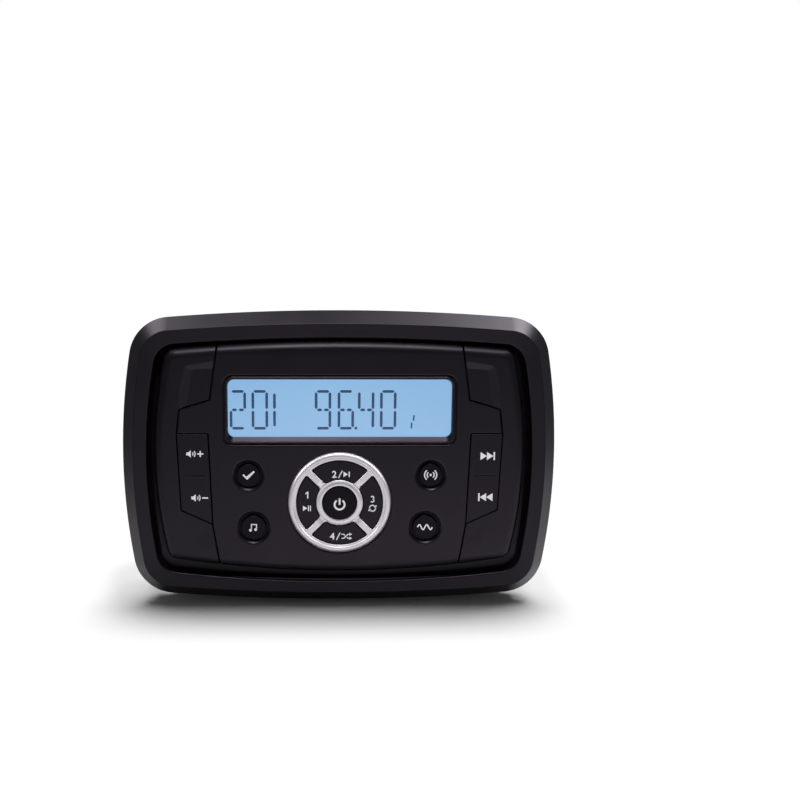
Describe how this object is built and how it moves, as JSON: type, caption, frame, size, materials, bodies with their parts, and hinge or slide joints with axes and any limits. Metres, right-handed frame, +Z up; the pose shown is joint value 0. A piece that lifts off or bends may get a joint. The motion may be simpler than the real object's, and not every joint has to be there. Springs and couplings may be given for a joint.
{
  "type": "marine stereo",
  "caption": "Weatherproof panel-mount marine receiver with a bowed black face, blue display, silver control ring, round keys, side rocker keys and a rear clamp.",
  "frame": {"origin": "middle of the face in the plane of the dash that the front frame sits against", "axes": "+X to the viewer's right across the face, +Y from the face into the dash, +Z up the face"},
  "size_m": [0.186, 0.0963, 0.1272],
  "materials": {
    "satin_black_plastic": "satin, finely grained",
    "key_plastic": "satin, smooth",
    "satin_silver": "satin silver",
    "clear_window": "clear",
    "display_glass": "lit light blue",
    "light_guide": "milky white",
    "black_plastic": "matt",
    "key_rubber": "matt",
    "circuit_board": "solder mask",
    "switch_metal": "plain",
    "board_connector": "plain",
    "chip_plastic": "matt",
    "capacitor_sleeve": "gloss sleeve",
    "shield_steel": "tinned",
    "black_aluminium": "black anodised",
    "stainless_steel": "plain stainless",
    "seal_rubber": "matt",
    "foam_gasket": "closed-cell foam",
    "nickel_plate": "nickel plated",
    "white_nylon": "plain"
  },
  "bodies": {
    "housing": {"rear_housing": "satin_black_plastic", "bezel": "satin_black_plastic", "face_panel": "satin_black_plastic", "left_trim": "satin_black_plastic", "right_trim": "satin_black_plastic", "display_lens": "clear_window", "lcd_glass": "display_glass", "backlight": "light_guide", "lcd_holder": "black_plastic", "control_ring": "satin_silver", "keypad_mat": "key_rubber", "front_board": "circuit_board", "tact_switches": "switch_metal", "board_link": "board_connector", "main_board": "circuit_board", "amplifier_chip": "chip_plastic", "capacitors": "capacitor_sleeve", "tuner_module": "shield_steel", "bluetooth_board": "circuit_board", "heat_sink": "black_aluminium", "heat_sink_screws": "stainless_steel", "board_screws": "stainless_steel", "front_screws": "stainless_steel", "housing_seal": "seal_rubber", "dash_gasket": "foam_gasket", "antenna_socket": "nickel_plate", "harness_socket": "white_nylon", "rca_sockets": "nickel_plate", "mounting_studs": "stainless_steel"},
    "clamp": {"clamp_bracket": "stainless_steel", "bracket_pads": "seal_rubber", "stud_washers": "stainless_steel"},
    "wing_nut_left": {"wing_nut_left": "stainless_steel"},
    "wing_nut_right": {"wing_nut_right": "stainless_steel"},
    "select_key": {"select_key": "key_plastic"},
    "mode_key": {"mode_key": "key_plastic"},
    "scan_key": {"scan_key": "key_plastic"},
    "band_key": {"band_key": "key_plastic"},
    "preset_key_1": {"preset_key_1": "key_plastic"},
    "preset_key_2": {"preset_key_2": "key_plastic"},
    "preset_key_3": {"preset_key_3": "key_plastic"},
    "preset_key_4": {"preset_key_4": "key_plastic"},
    "power_key": {"power_key": "key_plastic"},
    "volume_rocker": {"volume_rocker": "key_plastic"},
    "track_rocker": {"track_rocker": "key_plastic"}
  },
  "joints": [
    {"name": "select_key_press", "type": "slide", "parent": "housing", "child": "select_key", "axis": [0, 1, 0], "range_m": [0, 0.0008], "stiffness_N_per_m": 800, "springref_m": -0.0002},
    {"name": "mode_key_press", "type": "slide", "parent": "housing", "child": "mode_key", "axis": [0, 1, 0], "range_m": [0, 0.0008], "stiffness_N_per_m": 800, "springref_m": -0.0002},
    {"name": "scan_key_press", "type": "slide", "parent": "housing", "child": "scan_key", "axis": [0, 1, 0], "range_m": [0, 0.0008], "stiffness_N_per_m": 800, "springref_m": -0.0002},
    {"name": "band_key_press", "type": "slide", "parent": "housing", "child": "band_key", "axis": [0, 1, 0], "range_m": [0, 0.0008], "stiffness_N_per_m": 800, "springref_m": -0.0002},
    {"name": "preset_key_1_press", "type": "slide", "parent": "housing", "child": "preset_key_1", "axis": [0, 1, 0], "range_m": [0, 0.0008], "stiffness_N_per_m": 800, "springref_m": -0.0002},
    {"name": "preset_key_2_press", "type": "slide", "parent": "housing", "child": "preset_key_2", "axis": [0, 1, 0], "range_m": [0, 0.0008], "stiffness_N_per_m": 800, "springref_m": -0.0002},
    {"name": "preset_key_3_press", "type": "slide", "parent": "housing", "child": "preset_key_3", "axis": [0, 1, 0], "range_m": [0, 0.0008], "stiffness_N_per_m": 800, "springref_m": -0.0002},
    {"name": "preset_key_4_press", "type": "slide", "parent": "housing", "child": "preset_key_4", "axis": [0, 1, 0], "range_m": [0, 0.0008], "stiffness_N_per_m": 800, "springref_m": -0.0002},
    {"name": "power_key_press", "type": "slide", "parent": "housing", "child": "power_key", "axis": [0, 1, 0], "range_m": [0, 0.0008], "stiffness_N_per_m": 800, "springref_m": -0.0002},
    {"name": "volume_rocker_tip", "type": "hinge", "parent": "housing", "child": "volume_rocker", "pos_m": [-0.0618, -0.0046, -0.0063], "axis": [1, 0, 0], "range_deg": [-2.5, 2.5], "stiffness_Nm_per_rad": 0.5},
    {"name": "track_rocker_tip", "type": "hinge", "parent": "housing", "child": "track_rocker", "pos_m": [0.0618, -0.0046, -0.0063], "axis": [1, 0, 0], "range_deg": [-2.5, 2.5], "stiffness_Nm_per_rad": 0.5},
    {"name": "clamp_slide", "type": "slide", "parent": "housing", "child": "clamp", "axis": [0, 1, 0], "range_m": [-0.005, 0.008]},
    {"name": "wing_nut_left_turn", "type": "hinge", "parent": "clamp", "child": "wing_nut_left", "pos_m": [-0.06, 0.0724, 0], "axis": [0, 1, 0], "range_deg": [-2300, 3650]},
    {"name": "wing_nut_right_turn", "type": "hinge", "parent": "clamp", "child": "wing_nut_right", "pos_m": [0.06, 0.0724, 0], "axis": [0, 1, 0], "range_deg": [-2300, 3650]}
  ],
  "couplings": [
    {"joint": "wing_nut_left_turn", "follows": "clamp_slide", "rad_per_m": 7854},
    {"joint": "wing_nut_right_turn", "follows": "clamp_slide", "rad_per_m": 7854}
  ]
}
